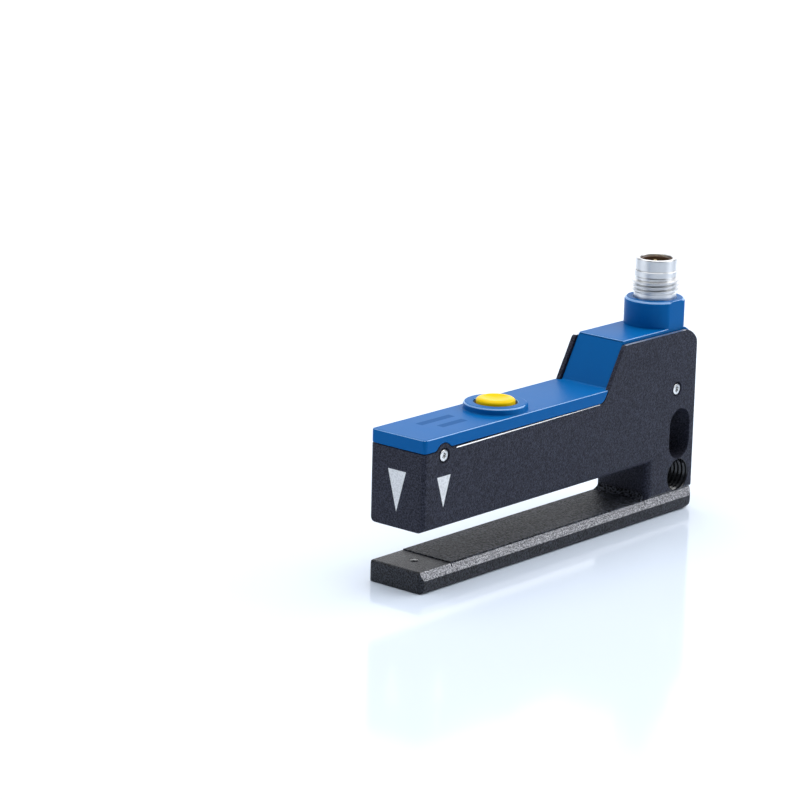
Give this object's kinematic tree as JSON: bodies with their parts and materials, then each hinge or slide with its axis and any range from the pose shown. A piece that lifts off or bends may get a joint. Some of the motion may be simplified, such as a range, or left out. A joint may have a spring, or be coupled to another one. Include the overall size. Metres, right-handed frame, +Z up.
{
  "type": "fork sensor",
  "caption": "Slim fork-shaped optical sensor: flat lower leg, black upper arm with a blue cap and a yellow push button, tall rear column with a small round plug connector.",
  "frame": {"origin": "middle of the footprint, on the underside of the lower leg", "axes": "+X to the side with the two cover screws, +Y from the fork's open tip to the column at the back, +Z up towards the plug connector"},
  "size_m": [0.0112, 0.0708, 0.0436],
  "materials": {
    "housing_black": "fine textured black coat, matt",
    "leg_black": "fine textured black coat, matt, with bare metal bevels",
    "plate_black": "fine textured black coat, matt",
    "cover_blue": "satin",
    "button_yellow": "smooth, softly glossy",
    "seal_black": "matt",
    "gasket_grey": "matt",
    "nickel": "plated, slightly dulled",
    "carrier_brown": "matt",
    "gilt": "gilt, bright",
    "board_green": "lacquered",
    "lead_amber": "smooth film",
    "part_black": "matt",
    "plunger_cream": "smooth",
    "lens_clear": "clear, polished",
    "lens_smoke": "dark red filter, polished",
    "diode_clear": "clear resin",
    "screw_steel": "bright"
  },
  "bodies": {
    "housing": {"fork_housing": "housing_black", "lower_arm": "leg_black", "arm_cover_plate": "plate_black", "emitter_lens": "lens_clear", "top_cover": "cover_blue", "button_seal": "seal_black", "connector_shell": "nickel", "contact_carrier": "carrier_brown", "contact_pin_1": "gilt", "contact_pin_2": "gilt", "contact_pin_3": "gilt", "contact_pin_4": "gilt", "front_cover_screw": "screw_steel", "rear_cover_screw": "screw_steel", "cover_gasket": "gasket_grey", "main_board": "board_green", "controller_chip": "part_black", "teach_switch": "part_black", "receiver_lens": "lens_smoke", "receiver_holder": "part_black", "receiver_diode": "diode_clear", "receiver_board": "board_green", "board_link": "part_black", "emitter_diode": "diode_clear", "emitter_board": "board_green", "flex_lead": "lead_amber", "connector_seal_ring": "seal_black", "connector_nut": "nickel", "connector_board": "board_green", "connector_lead": "lead_amber", "foot_screw_left": "screw_steel", "foot_screw_right": "screw_steel"},
    "button": {"teach_button": "button_yellow", "switch_plunger": "plunger_cream"}
  },
  "joints": [
    {"name": "button_press", "type": "slide", "parent": "housing", "child": "button", "axis": [0, 0, -1], "range_m": [0, 0.0005], "stiffness_N_per_m": 1500, "springref_m": -0.0015}
  ]
}
